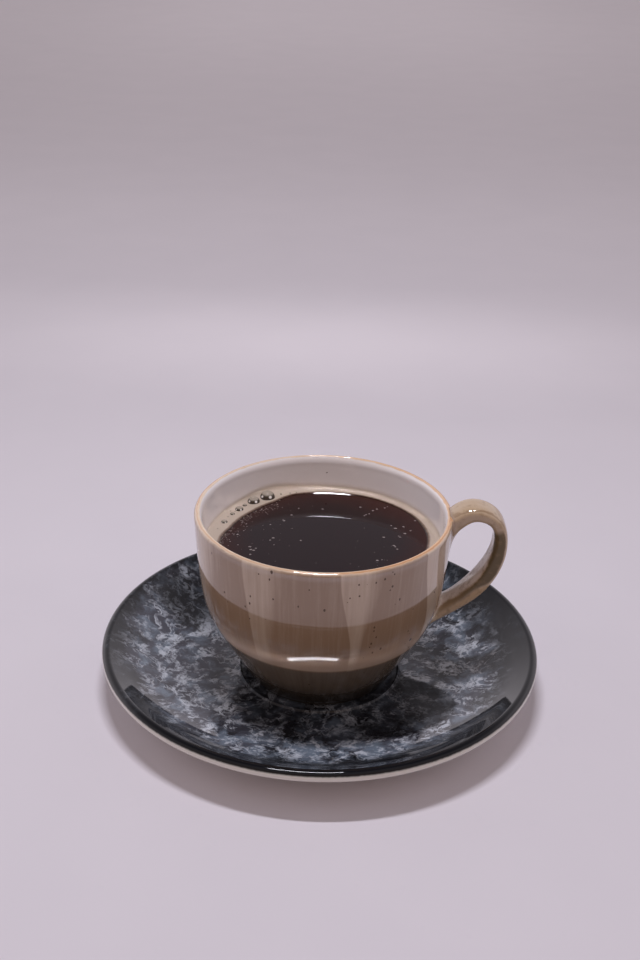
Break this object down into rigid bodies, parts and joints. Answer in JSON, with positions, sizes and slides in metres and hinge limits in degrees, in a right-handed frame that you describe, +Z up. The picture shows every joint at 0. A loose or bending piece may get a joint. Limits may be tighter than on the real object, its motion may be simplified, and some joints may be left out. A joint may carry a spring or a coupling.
{
  "type": "cup of americano",
  "caption": "Round stoneware cup with a loop handle, filled with black coffee and a thin foam edge, standing on a dished round saucer.",
  "frame": {"origin": "centre of the circle that the saucer's foot ring stands on", "axes": "+Z up through the middle of the saucer and the cup, +X from the middle towards the handle"},
  "size_m": [0.161, 0.161, 0.0753],
  "materials": {
    "saucer_glaze": "gloss",
    "cup_glaze": "gloss",
    "coffee": "gloss",
    "foam": "satin"
  },
  "bodies": {
    "root": {"saucer": "saucer_glaze", "cup": "cup_glaze", "coffee": "coffee", "foam": "foam"}
  },
  "joints": []
}
